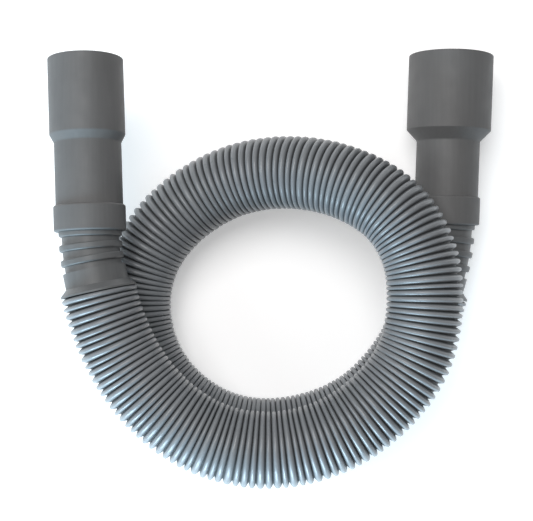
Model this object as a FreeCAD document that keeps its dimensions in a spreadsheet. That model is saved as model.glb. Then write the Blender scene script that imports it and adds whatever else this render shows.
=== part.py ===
"""Waste hose with a push-on socket at each end, for the outlet of a caravan or motorhome tank.

A corrugated hose lies in one and a half turns, its second turn on top of the first. Each of its
ends is moulded into a ribbed tail that bends with the hose, and a soft rubber cuff is pushed over
the ribs. The left cuff is a socket for a 40 mm pipe and the right one for a 50 mm pipe. A square
seal ring sits in a groove inside each cuff's collar: it slides along the ribs with the cuff, and
the cuff turns on it.

Millimetres. +Z is up, and z = 0 is the ground. The origin is on the ground, at the middle of the
box round the two fittings. Each fitting is drawn in a frame of its own, whose z axis is the cuff's
axis, pointing out of the socket, and whose origin is the end of the collar on the hose's side.
"""
import FreeCAD
import Part
import Sketcher
import math
import os

Vector = FreeCAD.Vector
Placement = FreeCAD.Placement
Rotation = FreeCAD.Rotation

SIDES = ("left", "right")

# Driving sizes: name and millimetres, degrees or a plain number.
DRIVING = (
    # Hose
    ("hose_radius", 25.5),
    ("corrugation_depth", 3.6),
    ("turn_gap", 1),
    # Ribbed tail, measured from its face on the hose
    ("tail_wall", 2.5),
    ("flare_step", 0.2),
    ("flare_lip", 1.2),
    ("flare_length", 4),
    ("band_length", 10.4),
    ("mouth_length", 6),
    ("rib_radius", 21),
    ("rib_height", 2),
    ("rib_width", 4.6),
    ("rib_round", 1.2),
    ("rib_pitch", 8.8),
    ("rib_count", 6),
    ("rib_start", 19.7),
    ("tail_land", 3.5),
    ("straight_margin", 4),
    # Both cuffs
    ("running_gap", 0.08),
    ("sleeve_spare", 5.1),
    ("stop_height", 2.5),
    ("collar_wall", 2.92),
    ("neck_wall", 1.32),
    ("least_shoulder", 1.6),
    ("collar_round", 1.3),
    ("neck_round", 1.5),
    ("rim_round", 0.6),
    ("lead_in", 1),
    # Seal ring
    ("seal_inset", 6),
    ("seal_width", 3),
    ("seal_depth", 1.3),
    ("seal_gap", 0.05),
    # Left fitting: socket for a 40 mm pipe
    ("left_rib_pitches_out", 3),
    ("left_collar_length", 17.6),
    ("left_neck_length", 42.1),
    ("left_shoulder_length", 5.5),
    ("left_shoulder_round", 1.5),
    ("left_socket_length", 51.3),
    ("left_socket_wall", 5),
    ("left_bore_radius", 20.25),
    ("left_socket_depth", 52),
    ("left_funnel_length", 2),
    ("left_bend", 10),
    ("left_heading", -2),
    ("left_rise", -2),
    # Right fitting: socket for a 50 mm pipe
    ("right_rib_pitches_out", 4),
    ("right_collar_length", 20),
    ("right_neck_length", 39.6),
    ("right_shoulder_length", 7.8),
    ("right_shoulder_round", 0.6),
    ("right_socket_length", 53.1),
    ("right_socket_wall", 4.55),
    ("right_bore_radius", 25.25),
    ("right_socket_depth", 52),
    ("right_funnel_length", 7),
    ("right_bend", 14),
    ("right_heading", 1.7),
    ("right_rise", 1.75),
)

# Sizes that follow from the driving ones.
DERIVED = [
    ("hose_bore_radius", "=hose_radius - corrugation_depth"),
    ("flare_radius", "=hose_radius - flare_step"),
    ("core_radius", "=rib_radius - rib_height"),
    ("tail_bore_radius", "=core_radius - tail_wall"),
    ("band_start", "=flare_lip + flare_length"),
    ("band_end", "=band_start + band_length"),
    ("tail_length", "=rib_start + rib_pitch * (rib_count - 1) + rib_width + tail_land"),
    ("sleeve_radius", "=rib_radius + running_gap"),
    ("sleeve_depth", "=tail_length - left_exposed + sleeve_spare"),
    ("way_radius", "=rib_radius - stop_height"),
    ("collar_radius", "=sleeve_radius + collar_wall"),
    ("neck_radius", "=sleeve_radius + neck_wall"),
    ("groove_radius", "=sleeve_radius + seal_depth"),
    ("groove_end", "=seal_inset + seal_width"),
    ("first_rib", "=rib_start + rib_width / 2"),
    ("seal_middle", "=seal_inset + seal_width / 2"),
    ("seal_inner_radius", "=rib_radius + seal_gap"),
    ("seal_outer_radius", "=groove_radius - seal_gap"),
    ("seal_start", "=seal_inset + seal_gap"),
    ("seal_end", "=groove_end - seal_gap"),
]
for side in SIDES:
    DERIVED += [
        (f"{side}_exposed", f"=first_rib + rib_pitch * {side}_rib_pitches_out - seal_middle"),
        (
            f"{side}_socket_radius",
            f"=max({side}_bore_radius + {side}_socket_wall; neck_radius + least_shoulder)",
        ),
        (f"{side}_neck_end", f"={side}_collar_length + {side}_neck_length"),
        (f"{side}_socket_start", f"={side}_neck_end + {side}_shoulder_length"),
        (f"{side}_cuff_length", f"={side}_socket_start + {side}_socket_length"),
        (f"{side}_bore_start", f"={side}_cuff_length - {side}_socket_depth"),
        (f"{side}_funnel_start", f"={side}_bore_start - {side}_funnel_length"),
        (f"{side}_inner_length", f"=tail_length - {side}_exposed + straight_margin"),
    ]

# Where each collar's end on the hose's side stands. The left fitting lies as high as the
# second turn of the hose, and the right one lies on the ground.
COLLAR_AT = {"left": (-125.6, -39.7), "right": (121.5, -33.2)}
LEFT_LAYER = 0.945

# The hose's route between its two straight exits: x, y and layer. Layer 0 lies on the ground and
# layer 1 on top of the first turn. It runs from the right fitting to the left one.
ROUTE = (
    (97.7, -124.1, 0),
    (80.1, -147.6, 0),
    (55.3, -168.9, 0),
    (19.8, -182.4, 0),
    (-20.2, -185.4, 0),
    (-57.2, -172.4, 0),
    (-86.2, -145.9, 0),
    (-101.7, -110.9, 0),
    (-101.9, -71.9, 0),
    (-86.2, -39.9, 0.02),
    (-58.6, -14.8, 0.1),
    (-25.2, 0.6, 0.25),
    (12.8, 3.6, 0.46),
    (48.8, -4.9, 0.68),
    (79.8, -24.4, 0.87),
    (96.7, -54.2, 0.97),
    (99.5, -88.9, 1),
    (93.3, -123.9, 1),
    (71.3, -153.9, 1),
    (40.1, -176.7, 1),
    (0.8, -187.4, 1),
    (-40, -182.5, 1),
    (-74.8, -162.1, 1),
    (-101.1, -131, 0.98),
)
EXIT_RUN = {"left": 14, "right": 16}
ARC_SHARE = 0.45
VOLUME_TOLERANCE = 0.005

document = FreeCAD.newDocument("WasteHoseKit")
sheet = document.addObject("Spreadsheet::Sheet", "Sizes")


def fill_sheet():
    for row, (name, value) in enumerate([*DRIVING, *DERIVED], start=1):
        sheet.set(f"A{row}", name)
        sheet.set(f"B{row}", str(value))
        sheet.setAlias(f"B{row}", name)
    document.recompute()


def size(name):
    return float(sheet.get(name))


def bind(item, **properties):
    """Ties properties of an object to spreadsheet sizes."""
    for name, alias in properties.items():
        item.setExpression(name, f"Sizes.{alias}")
    return item


def fitting_axes(side):
    """The cuff's side, lower side and outward directions."""
    heading = math.radians(size(f"{side}_heading"))
    rise = math.radians(size(f"{side}_rise"))
    out = Vector(
        math.sin(heading) * math.cos(rise),
        math.cos(heading) * math.cos(rise),
        math.sin(rise),
    )
    across = Vector(math.cos(heading), -math.sin(heading), 0)
    return across, out.cross(across), out


def layer_height(layer):
    """Height of the hose's centreline in a layer."""
    return size("hose_radius") + layer * (2 * size("hose_radius") + size("turn_gap"))


def collar_height(side):
    """The right fitting rests on the corner where its shoulder meets its socket."""
    if side == "left":
        return layer_height(LEFT_LAYER)
    rise = math.radians(size("right_rise"))
    reach = size("right_socket_start")
    return size("right_socket_radius") * math.cos(rise) - reach * math.sin(rise)


def fitting_placement(side):
    across, down, out = fitting_axes(side)
    x, y = COLLAR_AT[side]
    return Placement(Vector(x, y, collar_height(side)), Rotation(across, down, out, "ZXY"))


def outline(body, name, corners):
    """Closed outline of straight lines in the body's XZ plane, each corner held at its radius and
    its distance along the axis, both sizes of the spreadsheet."""
    sketch = body.newObject("Sketcher::SketchObject", name)
    plane = next(item for item in body.Origin.OriginFeatures if item.Role == "XZ_Plane")
    sketch.AttachmentSupport = [(plane, "")]
    sketch.MapMode = "FlatFace"
    points = [Vector(size(radius), size(along) if along else 0, 0) for radius, along in corners]
    for start, end in zip(points, points[1:] + points[:1]):
        sketch.addGeometry(Part.LineSegment(start, end), False)
    for index, (radius, along) in enumerate(corners):
        following = (index + 1) % len(corners)
        sketch.addConstraint(Sketcher.Constraint("Coincident", index, 2, following, 1))
        hold(sketch, "DistanceX", index, radius)
        if along:
            hold(sketch, "DistanceY", index, along)
        else:
            sketch.addConstraint(Sketcher.Constraint("PointOnObject", index, 1, -1))
    return sketch


def hold(sketch, kind, index, alias):
    number = sketch.addConstraint(Sketcher.Constraint(kind, -1, 1, index, 1, size(alias)))
    sketch.setExpression(f"Constraints[{number}]", f"Sizes.{alias}")


def revolve(body, sketch):
    turned = body.newObject("PartDesign::Revolution", f"{body.Name}_turned")
    turned.Profile = sketch
    turned.ReferenceAxis = (sketch, ["V_Axis"])
    turned.Angle = 360
    sketch.Visibility = False
    document.recompute()
    return turned


def rings(feature, places):
    """Names of the feature's circular edges at the given radii and distances along the axis."""
    found = []
    for number, edge in enumerate(feature.Shape.Edges, start=1):
        if not isinstance(edge.Curve, Part.Circle):
            continue
        for radius, along in places:
            near_radius = abs(edge.Curve.Radius - size(radius)) < 1e-4
            near_along = abs(edge.Curve.Center.z - (size(along) if along else 0)) < 1e-4
            if near_radius and near_along:
                found.append(f"Edge{number}")
    return found


def soften(body, base, kind, alias, places):
    """A fillet or chamfer on rings of the base feature."""
    feature = body.newObject(f"PartDesign::{kind}", f"{body.Name}_{kind.lower()}")
    feature.Base = (base, rings(base, places))
    bind(feature, **{"Radius" if kind == "Fillet" else "Size": alias})
    document.recompute()
    return feature


def cuff(side):
    """Soft cuff: collar over the ribs, neck, shoulder and socket, all one moulding."""
    body = document.addObject("PartDesign::Body", f"{side.capitalize()}Cuff")
    body.Label = f"{side}_cuff"
    collar_length = f"{side}_collar_length"
    neck_end = f"{side}_neck_end"
    socket_start = f"{side}_socket_start"
    cuff_length = f"{side}_cuff_length"
    socket_radius = f"{side}_socket_radius"
    bore_radius = f"{side}_bore_radius"
    wall = outline(body, f"{side}_cuff_wall", (
        ("sleeve_radius", None),
        ("collar_radius", None),
        ("collar_radius", collar_length),
        ("neck_radius", collar_length),
        ("neck_radius", neck_end),
        (socket_radius, socket_start),
        (socket_radius, cuff_length),
        (bore_radius, cuff_length),
        (bore_radius, f"{side}_bore_start"),
        ("way_radius", f"{side}_funnel_start"),
        ("way_radius", "sleeve_depth"),
        ("sleeve_radius", "sleeve_depth"),
        ("sleeve_radius", "groove_end"),
        ("groove_radius", "groove_end"),
        ("groove_radius", "seal_inset"),
        ("sleeve_radius", "seal_inset"),
    ))
    shape = revolve(body, wall)
    shape = soften(body, shape, "Fillet", "rim_round", [(socket_radius, cuff_length)])
    shape = soften(body, shape, "Chamfer", "lead_in", [(bore_radius, cuff_length)])
    collar_edges = [("collar_radius", None), ("collar_radius", collar_length)]
    shape = soften(body, shape, "Fillet", "collar_round", collar_edges)
    shape = soften(body, shape, "Fillet", "neck_round", [("neck_radius", neck_end)])
    soften(body, shape, "Fillet", f"{side}_shoulder_round", [(socket_radius, socket_start)])
    body.Placement = fitting_placement(side)
    return body


def seal_ring(side):
    """Square ring held in the collar's groove, running on the crests of the ribs."""
    body = document.addObject("PartDesign::Body", f"{side.capitalize()}SealRing")
    body.Label = f"{side}_seal_ring"
    revolve(body, outline(body, f"{side}_seal_section", (
        ("seal_inner_radius", "seal_start"),
        ("seal_outer_radius", "seal_start"),
        ("seal_outer_radius", "seal_end"),
        ("seal_inner_radius", "seal_end"),
    )))
    body.Placement = fitting_placement(side)
    return body


class TailLine:
    """Centreline of a tail in the fitting's frame: a straight stretch inside the cuff, a bend, and
    a straight stretch through the band and the flare to the face on the hose."""

    def __init__(self, side):
        self.start = -size("straight_margin")
        self.turn = math.radians(size(f"{side}_bend"))
        self.arc = size(f"{side}_exposed") - size("straight_margin") - size("band_end")
        self.radius = self.arc / self.turn
        self.way = 1 if side == "left" else -1
        self.exposed = size(f"{side}_exposed")
        self.straight = Placement(Vector(0, 0, self.start), Rotation())

    def bent(self, turn):
        """Placement that turns the fitting's frame about the centre of the bend."""
        centre = Vector(self.way * self.radius, 0, self.start)
        turned = Rotation(Vector(0, 1, 0), -self.way * math.degrees(turn))
        about = Placement(centre, turned)
        return about.multiply(Placement(Vector(-centre.x, 0, 0), Rotation()))

    def at(self, distance):
        """Placement of a section that far from the face on the hose, its z axis out of the hose."""
        past_band = distance - size("band_end")
        if past_band < 0:
            low = self.bent(self.turn)
            return low.multiply(Placement(Vector(0, 0, past_band), Rotation()))
        if past_band < self.arc:
            return self.bent(self.turn - past_band / self.radius)
        return Placement(Vector(0, 0, distance - self.exposed), Rotation())

    def torus_placement(self):
        """The bend's torus segment starts at the straight stretch and turns down to the band."""
        centre = Vector(self.way * self.radius, 0, self.start)
        toward = Vector(-self.way, 0, 0)
        down = Vector(0, 0, -1)
        return Placement(centre, Rotation(toward, down, toward.cross(down), "ZXY"))


def cylinder(name, radius, height, placement):
    item = document.addObject("Part::Cylinder", name)
    bind(item, Radius=radius, Height=height)
    item.Placement = placement
    return item


def cone(name, low_radius, high_radius, height, placement):
    item = document.addObject("Part::Cone", name)
    bind(item, Radius1=low_radius, Radius2=high_radius, Height=height)
    item.Placement = placement
    return item


def bend(name, side, line, radius):
    """Round bar along the tail's bend."""
    item = document.addObject("Part::Torus", name)
    item.Radius1 = line.radius
    bind(item, Radius2=radius, Angle3=f"{side}_bend")
    item.Placement = line.torus_placement()
    return item


def rib(name, line, distance):
    """Ring with rounded edges round the core."""
    disc = cylinder(f"{name}_disc", "rib_radius", "rib_width", line.at(distance))
    document.recompute()
    item = document.addObject("Part::Fillet", name)
    item.Base = disc
    rim = [
        number for number, edge in enumerate(disc.Shape.Edges, start=1)
        if isinstance(edge.Curve, Part.Circle)
    ]
    item.Edges = [(number, size("rib_round"), size("rib_round")) for number in rim]
    return item


def joined(name, items):
    item = document.addObject("Part::MultiFuse", name)
    item.Shapes = items
    return item


def tail(side):
    """Ribbed end of the hose: core, ribs, band and flare, with the waterway through it."""
    line = TailLine(side)
    flare = line.at(size("flare_lip"))
    solids = [
        cylinder(f"{side}_core", "core_radius", f"{side}_inner_length", line.straight),
        bend(f"{side}_core_bend", side, line, "core_radius"),
        cylinder(f"{side}_band", "rib_radius", "band_length", line.at(size("band_start"))),
        cone(f"{side}_flare", "flare_radius", "rib_radius", "flare_length", flare),
        cylinder(f"{side}_lip", "flare_radius", "flare_lip", line.at(0)),
    ]
    for number in range(int(size("rib_count"))):
        distance = size("rib_start") + number * size("rib_pitch")
        solids.append(rib(f"{side}_rib_{number + 1}", line, distance))
    ways = [
        cylinder(f"{side}_way", "tail_bore_radius", f"{side}_inner_length", line.straight),
        bend(f"{side}_way_bend", side, line, "tail_bore_radius"),
        cylinder(f"{side}_band_way", "tail_bore_radius", "band_end", line.at(0)),
        cone(f"{side}_mouth", "hose_bore_radius", "tail_bore_radius", "mouth_length", line.at(0)),
    ]
    item = document.addObject("Part::Cut", f"{side.capitalize()}HoseTail")
    item.Base = joined(f"{side}_tail_solid", solids)
    item.Tool = joined(f"{side}_tail_ways", ways)
    item.Label = f"{side}_hose_tail"
    item.Placement = fitting_placement(side)
    return item


def exit_points(side):
    """The middle of the tail's face, and a point straight out of it along the hose."""
    face = fitting_placement(side).multiply(TailLine(side).at(0))
    away = face.Rotation.multVec(Vector(0, 0, -1))
    return face.Base, face.Base + away * EXIT_RUN[side]


def hose_points():
    right_face, right_exit = exit_points("right")
    left_face, left_exit = exit_points("left")
    laid = [Vector(x, y, layer_height(layer)) for x, y, layer in ROUTE]
    return [right_face, right_exit, *laid, left_exit, left_face]


def hose_path(points):
    """Straight runs joined by tangent arcs, and the arcs' radii."""
    edges, radii = [], []
    last = points[0]
    for before, corner, after in zip(points, points[1:], points[2:]):
        back, ahead = before - corner, after - corner
        half = (math.pi - back.getAngle(ahead)) / 2
        reach = ARC_SHARE * min(back.Length, ahead.Length)
        radius = reach / math.tan(half)
        start = corner + back.normalize() * reach
        end = corner + ahead.normalize() * reach
        inward = (back + ahead).normalize()
        middle = corner + inward * (radius / math.cos(half) - radius)
        edges.append(Part.LineSegment(last, start).toShape())
        edges.append(Part.Arc(start, middle, end).toShape())
        radii.append(radius)
        last = end
    edges.append(Part.LineSegment(last, points[-1]).toShape())
    return Part.Wire(edges), radii


def hose():
    """The hose as a plain tube: outside over the crests of its corrugations, inside its waterway."""
    points = hose_points()
    path, radii = hose_path(points)
    start, direction = points[0], points[1] - points[0]

    def bar(radius):
        ring = Part.Wire(Part.Circle(start, direction, radius).toShape())
        return path.makePipe(Part.Face(ring))

    outer, inner = size("hose_radius"), size("hose_bore_radius")
    item = document.addObject("Part::Feature", "Hose")
    item.Label = "hose"
    item.Shape = bar(outer).cut(bar(inner))
    item.Placement = Placement()
    expected = math.pi * (outer**2 - inner**2) * path.Length
    share = item.Shape.Volume / expected
    print("hose length", round(path.Length, 1), "arc radii", [round(radius) for radius in radii])
    print("hose volume over section times length", round(share, 5))
    if abs(share - 1) > VOLUME_TOLERANCE:
        raise RuntimeError("the hose's volume isn't its section times its length")
    return item


def check(nodes):
    for item in document.Objects:
        if "Invalid" in item.State or "Error" in item.State:
            raise RuntimeError(f"{item.Name} failed: {item.State}")
    for node in nodes:
        if node.Shape.isNull() or not node.Shape.isValid() or len(node.Shape.Solids) != 1:
            raise RuntimeError(f"{node.Label} isn't one valid solid")


def main():
    fill_sheet()
    nodes = [make(side) for side in SIDES for make in (tail, seal_ring, cuff)]
    nodes.append(hose())
    document.recompute()
    check(nodes)
    os.makedirs("parts", exist_ok=True)
    for node in nodes:
        node.Shape.exportStep(f"parts/{node.Label}.step")
        print(node.Label, round(node.Shape.Volume / 1000, 2), "cm3", node.Shape.BoundBox)


main()
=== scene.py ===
"""Looks of the waste hose kit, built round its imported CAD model. Metres, in the CAD model's frame."""

import math

import bpy
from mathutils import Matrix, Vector


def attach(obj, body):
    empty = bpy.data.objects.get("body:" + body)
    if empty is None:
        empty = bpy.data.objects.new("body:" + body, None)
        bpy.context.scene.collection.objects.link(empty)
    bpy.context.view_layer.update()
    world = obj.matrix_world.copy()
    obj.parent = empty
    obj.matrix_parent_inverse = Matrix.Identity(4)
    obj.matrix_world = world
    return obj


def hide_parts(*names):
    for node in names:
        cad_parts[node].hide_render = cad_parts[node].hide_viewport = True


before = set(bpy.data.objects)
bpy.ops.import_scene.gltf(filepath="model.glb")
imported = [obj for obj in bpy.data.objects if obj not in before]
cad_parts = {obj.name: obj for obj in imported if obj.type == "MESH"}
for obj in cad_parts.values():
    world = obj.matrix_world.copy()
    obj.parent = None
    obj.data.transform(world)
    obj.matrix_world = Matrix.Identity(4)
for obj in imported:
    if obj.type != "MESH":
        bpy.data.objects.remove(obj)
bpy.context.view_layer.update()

# Hose
HOSE_RADIUS = 0.0255
CORRUGATION_DEPTH = 0.0036
WALL = 0.0006
# How much lower than the rest a crest may be.
UNEVEN_HEIGHT = 0.0002
# Width of the band in which a groove's place lies, in convolutions.
UNEVEN_PITCH = 0.2
# Shape of a convolution: the first widens its groove, the second makes its crest fuller.
GROOVE_WIDTH = 2.7
BLUNTNESS = 1.9
# How much a bend widens a groove.
OPENING = 7.0
STEPS_PER_CONVOLUTION = 8
SIDES_ROUND = 50
# Convolutions each way over which the hose's bend is taken.
BEND_REACH = 3
# Lifts a step's place so that rounding can't put it in the convolution before.
ROUNDING = 0.001
MERGED_WITHIN = 0.00003
SEED = 7
# How far the corrugations are drawn out: each stretch's share of the hose and its pitch.
DRAWN_OUT = (
    (0.21, 0.00440),
    (0.146, 0.00433),
    (0.105, 0.00485),
    (0.105, 0.00461),
    (0.105, 0.00429),
    (0.21, 0.00460),
    (0.119, 0.00445),
)
# How far a bend opens the grooves, by place along the hose: 1 is fully, 0 not at all.
OPENED = (
    (0, 1), (0.42, 1), (0.47, 0.6), (0.58, 0.6), (0.63, 1),
    (0.72, 1), (0.785, 0.2), (0.865, 0.2), (0.92, 1), (1, 1),
)

# The curve through the hose's route: its order, and its points from one control point to the next.
ROUTE_ORDER = 3
ROUTE_STEPS = 24
# The hose's route, in the order of its run from the right fitting to the left one.
ROUTE = (
    (0.11262, -0.08187, 0.02623),
    (0.10829, -0.09727, 0.02576),
    (0.0977, -0.1241, 0.0255),
    (0.0801, -0.1476, 0.0255),
    (0.0553, -0.1689, 0.0255),
    (0.0198, -0.1824, 0.0255),
    (-0.0202, -0.1854, 0.0255),
    (-0.0572, -0.1724, 0.0255),
    (-0.0862, -0.1459, 0.0255),
    (-0.1017, -0.1109, 0.0255),
    (-0.1019, -0.0719, 0.0255),
    (-0.0862, -0.0399, 0.02654),
    (-0.0586, -0.0148, 0.0307),
    (-0.0252, 0.0006, 0.0385),
    (0.0128, 0.0036, 0.04942),
    (0.0488, -0.0049, 0.06086),
    (0.0798, -0.0244, 0.07074),
    (0.0967, -0.0542, 0.07594),
    (0.0995, -0.0889, 0.0775),
    (0.0933, -0.1239, 0.0775),
    (0.0713, -0.1539, 0.0775),
    (0.0401, -0.1767, 0.0775),
    (0.0008, -0.1874, 0.0775),
    (-0.04, -0.1825, 0.0775),
    (-0.0748, -0.1621, 0.0775),
    (-0.1011, -0.131, 0.07646),
    (-0.11671, -0.09373, 0.07654),
    (-0.11963, -0.08005, 0.07606),
)

# Studio
CAMERA_AT = (-0.0073, -0.0591, 0.7126)
LENS_MM = 64.17
LIGHTS_AIM = Vector((0, -0.06, 0.05))
FLOOR_REACH = 4
FLOOR_HEIGHT = -0.0004

WHITE = (1, 1, 1)
BLACK = (0, 0, 0)


def opaque(colour):
    return (*colour, 1)


def shaded(colour, share):
    """A colour at a share of its strength."""
    return tuple(channel * share for channel in colour)


class Nodes:
    """A node tree written as plain calls."""

    def __init__(self, tree):
        self.tree = tree

    def feed(self, socket, value):
        """Links a node's output to a socket, or sets the socket to a constant."""
        if isinstance(value, bpy.types.NodeSocket):
            self.tree.links.new(value, socket)
        else:
            socket.default_value = value

    def node(self, kind, inputs=None, **properties):
        """Adds a node and returns it."""
        made = self.tree.nodes.new(kind)
        for key, value in properties.items():
            setattr(made, key, value)
        for key, value in (inputs or {}).items():
            self.feed(made.inputs[key], value)
        return made


class Tree(Nodes):
    """A geometry tree with named inputs."""

    def __init__(self, name, inputs):
        super().__init__(bpy.data.node_groups.new(name, "GeometryNodeTree"))
        face = self.tree.interface
        face.new_socket("Geometry", in_out="INPUT", socket_type="NodeSocketGeometry")
        for label, kind, value in inputs:
            face.new_socket(label, in_out="INPUT", socket_type=kind).default_value = value
        face.new_socket("Geometry", in_out="OUTPUT", socket_type="NodeSocketGeometry")
        self.start = self.tree.nodes.new("NodeGroupInput")
        self.end = self.tree.nodes.new("NodeGroupOutput")

    def given(self, name):
        return self.start.outputs[name]

    def math(self, operation, *values):
        return self.node("ShaderNodeMath", dict(enumerate(values)), operation=operation).outputs[0]

    def vector(self, operation, *values):
        """A vector, or for DOT_PRODUCT and LENGTH a number."""
        node = self.node("ShaderNodeVectorMath", operation=operation)
        for index, value in enumerate(values):
            key = "Scale" if operation == "SCALE" and index == 1 else index
            self.feed(node.inputs[key], value)
        return node.outputs["Value" if operation in ("DOT_PRODUCT", "LENGTH") else "Vector"]

    def curve(self, value, knots):
        """A smooth curve through knots, read at a value."""
        made = self.node("ShaderNodeFloatCurve", {"Value": value})
        points = made.mapping.curves[0].points
        while len(points) < len(knots):
            points.new(0.5, 0.5)
        for point, knot in zip(points, knots):
            point.location = knot
            point.handle_type = "AUTO_CLAMPED"
        made.mapping.update()
        return made.outputs[0]

    def stored(self, geometry, name, value, kind="FLOAT"):
        """The geometry with a number or vector stored at each of its points."""
        return self.node(
            "GeometryNodeStoreNamedAttribute", {"Geometry": geometry, "Name": name, "Value": value},
            data_type=kind, domain="POINT").outputs[0]

    def read(self, name, kind="FLOAT"):
        """A stored number or vector, at each point."""
        return self.node("GeometryNodeInputNamedAttribute", {"Name": name}, data_type=kind).outputs[0]

    def place(self):
        """Where each point is."""
        return self.node("GeometryNodeInputPosition").outputs[0]

    def moved(self, geometry, **inputs):
        """The geometry with its points put at a Position or moved by an Offset."""
        return self.node("GeometryNodeSetPosition", {"Geometry": geometry, **inputs}).outputs[0]

    def tube(self, line, circle, radius):
        return self.node("GeometryNodeCurveToMesh", {
            "Curve": line, "Profile Curve": circle, "Scale": radius}).outputs[0]

    def resampled(self, line, count):
        return self.node("GeometryNodeResampleCurve", {"Curve": line, "Count": count}).outputs[0]

    def chance(self, order, seed):
        """A random number from 0 to 1 for each order."""
        drawn = self.node("FunctionNodeRandomValue", {"ID": order, "Seed": seed}, data_type="FLOAT")
        return drawn.outputs[1]

    def finish(self, geometry, material):
        """Ends the tree with a smooth, real mesh in one material."""
        smooth = self.node("GeometryNodeSetShadeSmooth", {"Geometry": geometry, "Shade Smooth": True})
        real = self.node("GeometryNodeRealizeInstances", {"Geometry": smooth.outputs[0]})
        done = self.node("GeometryNodeSetMaterial", {"Geometry": real.outputs[0], "Material": material})
        self.tree.links.new(done.outputs[0], self.end.inputs[0])


def route_line():
    """A mesh of the points along one smooth curve whose control points are the route's."""
    data = bpy.data.curves.new("hose_route", "CURVE")
    data.dimensions = "3D"
    data.resolution_u = ROUTE_STEPS
    spline = data.splines.new("NURBS")
    spline.points.add(len(ROUTE) - 1)
    for point, place in zip(spline.points, ROUTE):
        point.co = (*place, 1)
    spline.order_u = ROUTE_ORDER
    spline.use_endpoint_u = True
    curve = bpy.data.objects.new("hose_route", data)
    bpy.context.scene.collection.objects.link(curve)
    mesh = bpy.data.meshes.new_from_object(curve.evaluated_get(bpy.context.evaluated_depsgraph_get()))
    bpy.data.objects.remove(curve)
    return mesh


def convolution_places(length):
    """Number of convolutions in the hose, and where along it they lie."""
    counts = [share * length / pitch for share, pitch in DRAWN_OUT]
    places, done, along = [(0, 0)], 0, 0
    for count, (share, _) in zip(counts, DRAWN_OUT):
        done += count / sum(counts)
        along += share
        places.append((done, along))
    return round(sum(counts)), places


def groove_place(t, order):
    """Where a groove lies, counted in convolutions, a little off its even place."""
    inside = t.math("MULTIPLY", t.math("GREATER_THAN", order, 0.5),
                    t.math("LESS_THAN", order, t.math("SUBTRACT", t.given("Convolutions"), 0.5)))
    off = t.math("MULTIPLY", t.math("SUBTRACT", t.chance(order, SEED), 0.5), t.given("Uneven pitch"))
    return t.math("ADD", order, t.math("MULTIPLY", off, inside))


def bend_at_rings(t, index, last):
    """The hose's bend at each ring: 1 / its radius, as a vector towards its centre."""
    place = t.place()
    reach = t.math("MULTIPLY", t.given("Steps"), BEND_REACH)
    middle = t.math("MINIMUM", t.math("MAXIMUM", index, reach), t.math("SUBTRACT", last, reach))

    def ring_at(order):
        return t.node("GeometryNodeFieldAtIndex", {"Value": place, "Index": order},
                      data_type="FLOAT_VECTOR", domain="POINT").outputs[0]

    behind, ahead = ring_at(t.math("SUBTRACT", middle, reach)), ring_at(t.math("ADD", middle, reach))
    half = t.math("MULTIPLY", t.vector("LENGTH", t.vector("SUBTRACT", ahead, behind)), 0.5)
    sag = t.vector("SUBTRACT", t.vector("ADD", ahead, behind), t.vector("SCALE", ring_at(middle), 2))
    return t.vector("SCALE", sag, t.math("DIVIDE", 1, t.math("MULTIPLY", half, half)))


def hose_rings(t, line, index, last, places):
    """Points along the line where the skin's rings go, with what the skin needs stored at each."""
    steps, convolutions = t.given("Steps"), t.given("Convolutions")
    turns = t.math("DIVIDE", index, steps)
    number = t.math("FLOOR", t.math("ADD", turns, ROUNDING))
    swing = t.math("MULTIPLY", t.math("MAXIMUM", t.math("SUBTRACT", turns, number), 0), math.pi)
    crest = t.math("SINE", swing)
    across = t.math("MULTIPLY", t.math("SUBTRACT", 1, t.math("COSINE", swing)), 0.5)

    before, after = groove_place(t, number), groove_place(t, t.math("ADD", number, 1))
    placed = t.math("ADD", before, t.math("MULTIPLY", across, t.math("SUBTRACT", after, before)))
    drawn = t.curve(t.math("DIVIDE", placed, convolutions), places)
    spot = t.node("GeometryNodeSampleCurve", {"Curves": line, "Factor": drawn}, mode="FACTOR")
    rings = t.resampled(line, t.math("ADD", last, 1))
    rings = t.moved(rings, Position=spot.outputs["Position"])

    lower = t.math("MULTIPLY", t.math("SUBTRACT", t.chance(number, SEED + 1), 1), t.given("Uneven height"))
    rise = t.math("MULTIPLY", crest, t.math("ADD", t.given("Depth"), lower))
    root = t.math("SUBTRACT", t.given("Radius"), t.given("Depth"))
    end = t.math("ADD", t.math("LESS_THAN", index, 0.5),
                 t.math("GREATER_THAN", index, t.math("SUBTRACT", last, 0.5)))
    outside = t.math("SUBTRACT", t.math("ADD", root, rise), t.math("MULTIPLY", end, t.given("Wall")))
    rings = t.stored(rings, "crest", crest)
    rings = t.stored(rings, "ring_radius", outside)
    rings = t.stored(rings, "rise", rise)
    rings = t.stored(rings, "bend", bend_at_rings(t, index, last), "FLOAT_VECTOR")
    rings = t.stored(rings, "ring_middle", t.place(), "FLOAT_VECTOR")
    return t.stored(rings, "opened", t.curve(t.math("DIVIDE", index, last), OPENED))


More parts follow.
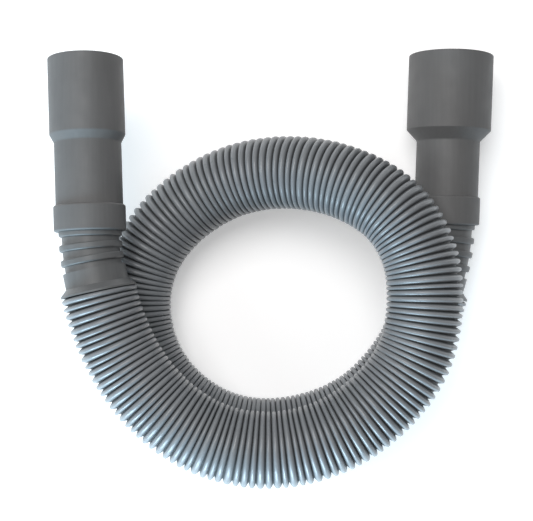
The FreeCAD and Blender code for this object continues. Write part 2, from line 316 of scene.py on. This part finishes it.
def grooved(t, skin):
    """The skin with narrow grooves, open where a bend stretches the hose, closed where it squeezes it."""
    outward = t.vector("SUBTRACT", t.place(), t.read("ring_middle", "FLOAT_VECTOR"))
    stretch = t.math("MULTIPLY", t.vector("DOT_PRODUCT", t.read("bend", "FLOAT_VECTOR"), outward), -1)
    opening = t.math("MULTIPLY", t.given("Opening"), t.read("opened"))
    power = t.math("ADD", t.given("Groove width"), t.math("MULTIPLY", opening, stretch))
    narrowed = t.math("POWER", t.read("crest"), t.math("MAXIMUM", power, 1))
    blunt = t.math("SUBTRACT", 1, t.math("POWER", t.math("SUBTRACT", 1, narrowed), t.given("Bluntness")))
    skin = t.stored(skin, "height", blunt)
    share = t.math("SUBTRACT", t.math("DIVIDE", t.read("height"), t.read("crest")), 1)
    sink = t.vector("SCALE", t.vector("NORMALIZE", outward), t.math("MULTIPLY", t.read("rise"), share))
    return t.moved(skin, Offset=sink)


def hose_tree(convolutions, places, material):
    """Corrugated tube along a line: rounded crests with narrow grooves between, and a bore."""
    t = Tree("corrugated_hose", [
        ("Convolutions", "NodeSocketInt", convolutions),
        ("Steps", "NodeSocketInt", STEPS_PER_CONVOLUTION),
        ("Sides", "NodeSocketInt", SIDES_ROUND),
        ("Radius", "NodeSocketFloat", HOSE_RADIUS),
        ("Depth", "NodeSocketFloat", CORRUGATION_DEPTH),
        ("Wall", "NodeSocketFloat", WALL),
        ("Uneven height", "NodeSocketFloat", UNEVEN_HEIGHT),
        ("Uneven pitch", "NodeSocketFloat", UNEVEN_PITCH),
        ("Groove width", "NodeSocketFloat", GROOVE_WIDTH),
        ("Opening", "NodeSocketFloat", OPENING),
        ("Bluntness", "NodeSocketFloat", BLUNTNESS),
    ])
    line = t.node("GeometryNodeMeshToCurve", {"Mesh": t.given("Geometry")}).outputs[0]
    index = t.node("GeometryNodeInputIndex").outputs[0]
    last = t.math("MULTIPLY", t.given("Convolutions"), t.given("Steps"))
    circle = t.node("GeometryNodeCurvePrimitiveCircle", {
        "Resolution": t.given("Sides"), "Radius": 1.0}).outputs[0]

    rings = hose_rings(t, line, index, last, places)
    skin = grooved(t, t.tube(rings, circle, t.read("ring_radius")))
    bore = t.math("SUBTRACT", t.math("SUBTRACT", t.given("Radius"), t.given("Depth")), t.given("Wall"))
    inner = t.tube(t.resampled(line, t.math("ADD", t.given("Convolutions"), 1)), circle, bore)
    lining = t.node("GeometryNodeFlipFaces", {"Mesh": inner}).outputs[0]
    both = t.node("GeometryNodeJoinGeometry")
    for part in (skin, lining):
        t.tree.links.new(part, both.inputs[0])
    hose = t.node("GeometryNodeMergeByDistance", {
        "Geometry": both.outputs[0], "Distance": MERGED_WITHIN}).outputs[0]
    for name in ("crest", "ring_radius", "rise", "bend", "ring_middle", "opened"):
        hose = t.node("GeometryNodeRemoveAttribute", {"Geometry": hose, "Name": name}).outputs[0]
    t.finish(hose, material)
    return t.tree


def grown(name, mesh, tree):
    """A piece whose plain mesh the tree makes from a mesh."""
    piece = bpy.data.objects.new(name, mesh)
    bpy.context.scene.collection.objects.link(piece)
    modifier = piece.modifiers.new("grow", "NODES")
    modifier.node_group = tree
    made = bpy.data.meshes.new_from_object(piece.evaluated_get(bpy.context.evaluated_depsgraph_get()))
    piece.modifiers.remove(modifier)
    piece.data = made
    return piece


class Finish(Nodes):
    """A material with its patterns."""

    def __init__(self, name, specular):
        self.material = bpy.data.materials.new(name)
        self.material.use_nodes = True
        super().__init__(self.material.node_tree)
        self.body = self.tree.nodes["Principled BSDF"]
        self.give("Specular IOR Level", specular)
        self.place = self.node("ShaderNodeTexCoord").outputs["Object"]

    def give(self, socket, value):
        """Gives the surface a pattern or a constant."""
        self.feed(self.body.inputs[socket], value)

    def noise(self, scale, detail, stretch=(1, 1, 1)):
        """Noise of so many features a metre, drawn out along an axis by a stretch below 1."""
        at = self.node("ShaderNodeMapping", {"Vector": self.place, "Scale": stretch}).outputs[0]
        return self.node("ShaderNodeTexNoise", {
            "Vector": at, "Scale": scale, "Detail": detail}).outputs["Fac"]

    def between(self, value, low, high, start=0.3, end=0.7):
        """A number from low to high as value goes from start to end."""
        return self.node("ShaderNodeMapRange", {
            "Value": value, "From Min": start, "From Max": end, "To Min": low, "To Max": high}).outputs[0]

    def tint(self, value, dark, light, start=0.3, end=0.7):
        """A colour from dark to light as value goes from start to end."""
        ramp = self.node("ShaderNodeValToRGB", {"Fac": value})
        for element, position, colour in zip(ramp.color_ramp.elements, (start, end), (dark, light)):
            element.position = position
            element.color = opaque(colour)
        return ramp.outputs["Color"]

    def mixed(self, first, second, factor, blend="MIX"):
        """One colour over another, by a factor."""
        mix = self.node("ShaderNodeMix", data_type="RGBA", blend_type=blend)
        for key, value in (("Factor", factor), ("A", first), ("B", second)):
            self.feed(next(s for s in mix.inputs if s.name == key and s.enabled), value)
        return next(s for s in mix.outputs if s.enabled)

    def toned(self, colour, pattern, dark, light):
        """A colour made a little darker and lighter by a pattern."""
        tones = self.tint(pattern, shaded(WHITE, dark), shaded(WHITE, light))
        return self.mixed(colour, tones, 1.0, "MULTIPLY")

    def relief(self, *heights):
        """Bumps on bumps: each a height, its strength and its depth in metres."""
        normal = None
        for height, strength, depth in heights:
            bump = self.node("ShaderNodeBump", {"Height": height, "Strength": strength, "Distance": depth})
            if normal is not None:
                self.tree.links.new(normal, bump.inputs["Normal"])
            normal = bump.outputs["Normal"]
        self.give("Normal", normal)


def moulded_rubber(name, colour, roughness):
    """Matte moulded rubber with a fine grain, flow streaks along the moulding and soft mottling."""
    f = Finish(name, specular=0.42)
    mottle = f.tint(f.noise(scale=38, detail=5), shaded(colour, 0.93), shaded(colour, 1.05))
    streaks = f.noise(scale=420, detail=3, stretch=(1, 0.06, 1))
    f.give("Base Color", f.toned(mottle, streaks, dark=0.955, light=1.03))
    f.give("Roughness", f.between(f.noise(scale=90, detail=4), roughness - 0.06, roughness + 0.07))
    flow = f.noise(scale=260, detail=3, stretch=(1, 0.05, 1))
    grain = f.noise(scale=1500, detail=3)
    f.relief((flow, 0.10, 0.00035), (grain, 0.16, 0.00012))
    return f.material


def seal_rubber():
    """Black rubber."""
    f = Finish("seal_rubber", specular=0.4)
    mottle = f.noise(scale=300, detail=3)
    f.give("Base Color", f.tint(mottle, (0.014, 0.014, 0.015), (0.026, 0.026, 0.027)))
    f.give("Roughness", 0.55)
    f.relief((f.noise(scale=1800, detail=3), 0.2, 0.0001))
    return f.material


def hose_plastic():
    """Half-gloss flexible plastic: crests polished by handling, grooves dull and darkened by painted
    shade.
    """
    f = Finish("hose_plastic", specular=0.5)
    height = f.node("ShaderNodeAttribute", attribute_name="height").outputs["Fac"]
    mottle = f.tint(f.noise(scale=26, detail=5), (0.192, 0.206, 0.219), (0.218, 0.233, 0.247))
    tone = f.toned(mottle, f.noise(scale=700, detail=3), dark=0.965, light=1.03)
    # Painted shade in the grooves: this factor darkens the colour towards black where the skin lies low,
    # standing in for the shade that falls there.
    light = f.between(height, 0.2, 1.0, start=0.05, end=0.75)
    f.give("Base Color", f.mixed(opaque(BLACK), tone, light))
    polish = f.between(height, 0.5, 0.31, start=0.2, end=0.9)
    wear = f.between(f.noise(scale=120, detail=5), -0.05, 0.06)
    f.give("Roughness", f.node("ShaderNodeMath", {0: polish, 1: wear}, operation="ADD").outputs[0])
    f.relief((f.noise(scale=1300, detail=3), 0.08, 0.0001))
    return f.material


def dress(node, material):
    """Gives a CAD node its material."""
    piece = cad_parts[node]
    piece.data.materials.clear()
    piece.data.materials.append(material)


def soft_light(name, place, size, power, colour):
    """A rectangular soft light that faces the hose. Its power is in watts."""
    data = bpy.data.lights.new(name, "AREA")
    data.shape = "RECTANGLE"
    data.size, data.size_y = size
    data.energy = power
    data.color = colour
    light = bpy.data.objects.new(name, data)
    light.location = place
    light.rotation_euler = (LIGHTS_AIM - Vector(place)).to_track_quat("-Z", "Y").to_euler()
    bpy.context.scene.collection.objects.link(light)


def studio():
    """Pale floor, soft lights and the camera above."""
    scene = bpy.context.scene
    scene.view_settings.view_transform = "Standard"
    world = bpy.data.worlds.new("studio")
    scene.world = world
    world.use_nodes = True
    back = world.node_tree.nodes["Background"]
    back.inputs["Color"].default_value = opaque((1.0, 0.985, 0.975))
    back.inputs["Strength"].default_value = 0.32

    floor = bpy.data.meshes.new("floor")
    corners = [(x * FLOOR_REACH, y * FLOOR_REACH, 0) for x, y in ((-1, -1), (1, -1), (1, 1), (-1, 1))]
    floor.from_pydata(corners, [], [(0, 1, 2, 3)])
    ground = bpy.data.objects.new("floor", floor)
    ground.location.z = FLOOR_HEIGHT
    scene.collection.objects.link(ground)
    pale = Finish("pale_floor", specular=0.2)
    pale.give("Roughness", 0.75)
    pale.give("Base Color", opaque(shaded(WHITE, 0.93)))
    pale.give("Emission Color", opaque(WHITE))
    pale.give("Emission Strength", 0.32)
    floor.materials.append(pale.material)

    soft_light("front_light", (-0.40, -1.25, 0.30), (1.0, 0.55), 35, (0.60, 0.84, 1.0))
    soft_light("left_light", (-1.25, 0.0, 0.8), (0.45, 1.0), 4.0, (0.90, 0.97, 1.0))
    soft_light("top_light", (-0.35, 0.55, 1.6), (1.1, 1.1), 19.5, (1.0, 0.985, 0.98))

    data = bpy.data.cameras.new("camera")
    data.lens = LENS_MM
    camera = bpy.data.objects.new("camera", data)
    camera.location = CAMERA_AT
    scene.collection.objects.link(camera)
    scene.camera = camera


def main():
    """Builds the studio, dresses the CAD nodes and puts the hose in place of its plain tube."""
    studio()
    cuff_rubber = moulded_rubber("cuff_rubber", (0.114, 0.115, 0.116), 0.56)
    tail_rubber = moulded_rubber("tail_rubber", (0.118, 0.123, 0.126), 0.42)
    ring_rubber = seal_rubber()
    for side in ("left", "right"):
        dress(f"{side}_cuff", cuff_rubber)
        dress(f"{side}_hose_tail", tail_rubber)
        dress(f"{side}_seal_ring", ring_rubber)

    line = route_line()
    points = [vertex.co.copy() for vertex in line.vertices]
    length = sum((b - a).length for a, b in zip(points, points[1:]))
    convolutions, places = convolution_places(length)
    hose = grown("corrugated_hose", line, hose_tree(convolutions, places, hose_plastic()))
    triangles = sum(len(face.vertices) - 2 for face in hose.data.polygons)
    print("hose", round(length, 4), "m,", convolutions, "convolutions,", triangles, "triangles")
    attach(hose, "hose_run")
    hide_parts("hose")


main()
